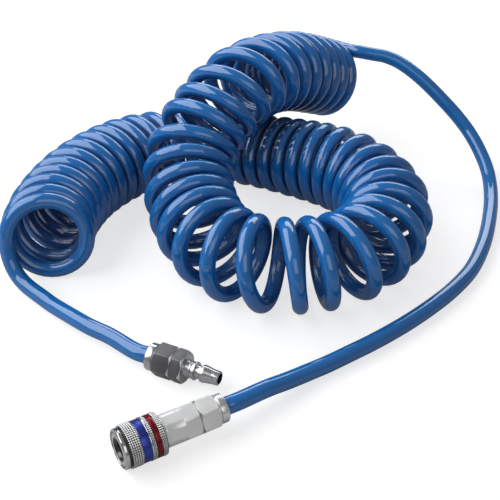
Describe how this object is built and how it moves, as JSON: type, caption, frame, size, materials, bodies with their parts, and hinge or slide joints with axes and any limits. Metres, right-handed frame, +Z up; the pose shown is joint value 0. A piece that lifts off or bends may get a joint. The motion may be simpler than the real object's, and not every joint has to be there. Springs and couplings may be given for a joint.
{
  "type": "coiled air hose",
  "caption": "Coiled blue polyurethane air hose, 12 mm across, with a quick-release socket and its matching plug.",
  "frame": {"origin": "on the table, at the bottom centre of the two fittings (socket and plug)", "axes": "+Z up; +X along the socket's axis, from its mouth towards its hose; the plug lies on its hexagon, turned 55.3 degrees"},
  "size_m": [0.4328, 0.35, 0.1328],
  "materials": {
    "polyurethane": "glossy mid-blue extruded polyurethane",
    "nickel": "bright nickel-plated steel",
    "satin_nickel": "satin nickel, turned and knurled",
    "gunmetal": "darker hardened steel",
    "blue_anodised": "blue anodised",
    "red_anodised": "dark red anodised",
    "steel": "polished steel balls and spring wire",
    "brass": "turned brass",
    "rubber": "black nitrile"
  },
  "bodies": {
    "hose_and_fittings": {"hose_coil": "polyurethane", "hose_tail_plug": "polyurethane", "hose_tail_socket": "polyurethane", "hose_end_plug": "polyurethane", "hose_end_socket": "polyurethane", "plug_body": "gunmetal", "plug_nut": "gunmetal", "plug_clamp_ring": "brass", "socket_front_body": "nickel", "socket_rear_body": "nickel", "socket_nut": "nickel", "socket_clamp_ring": "brass", "nose_seal": "rubber", "sleeve_spring": "steel", "valve_spring": "steel"},
    "sleeve": {"release_sleeve": "satin_nickel", "sleeve_blue_band": "blue_anodised", "sleeve_narrow_ring": "nickel", "sleeve_red_band": "red_anodised", "sleeve_rear_rim": "satin_nickel"},
    "valve": {"valve_poppet": "brass", "valve_seal": "rubber"},
    "ball_1": {"lock_ball_1": "steel"},
    "ball_2": {"lock_ball_2": "steel"},
    "ball_3": {"lock_ball_3": "steel"},
    "ball_4": {"lock_ball_4": "steel"},
    "ball_5": {"lock_ball_5": "steel"},
    "ball_6": {"lock_ball_6": "steel"}
  },
  "joints": [
    {"name": "sleeve_slide", "type": "slide", "parent": "hose_and_fittings", "child": "sleeve", "axis": [1, 0, 0], "range_m": [0, 0.0045], "stiffness_N_per_m": 1800, "springref_m": -0.004, "deforming": ["sleeve_spring"]},
    {"name": "valve_slide", "type": "slide", "parent": "hose_and_fittings", "child": "valve", "axis": [1, 0, 0], "range_m": [0, 0.005], "stiffness_N_per_m": 900, "springref_m": -0.004, "deforming": ["valve_spring"]},
    {"name": "ball_1_slide", "type": "slide", "parent": "hose_and_fittings", "child": "ball_1", "axis": [0, -0.5, 0.866], "range_m": [0, 0.00125]},
    {"name": "ball_2_slide", "type": "slide", "parent": "hose_and_fittings", "child": "ball_2", "axis": [0, -1, 0], "range_m": [0, 0.00125]},
    {"name": "ball_3_slide", "type": "slide", "parent": "hose_and_fittings", "child": "ball_3", "axis": [0, -0.5, -0.866], "range_m": [0, 0.00125]},
    {"name": "ball_4_slide", "type": "slide", "parent": "hose_and_fittings", "child": "ball_4", "axis": [0, 0.5, -0.866], "range_m": [0, 0.00125]},
    {"name": "ball_5_slide", "type": "slide", "parent": "hose_and_fittings", "child": "ball_5", "axis": [0, 1, 0], "range_m": [0, 0.00125]},
    {"name": "ball_6_slide", "type": "slide", "parent": "hose_and_fittings", "child": "ball_6", "axis": [0, 0.5, 0.866], "range_m": [0, 0.00125]}
  ],
  "couplings": [
    {"joint": "ball_1_slide", "follows": "sleeve_slide", "ratio": 0.26667},
    {"joint": "ball_2_slide", "follows": "sleeve_slide", "ratio": 0.26667},
    {"joint": "ball_3_slide", "follows": "sleeve_slide", "ratio": 0.26667},
    {"joint": "ball_4_slide", "follows": "sleeve_slide", "ratio": 0.26667},
    {"joint": "ball_5_slide", "follows": "sleeve_slide", "ratio": 0.26667},
    {"joint": "ball_6_slide", "follows": "sleeve_slide", "ratio": 0.26667}
  ]
}
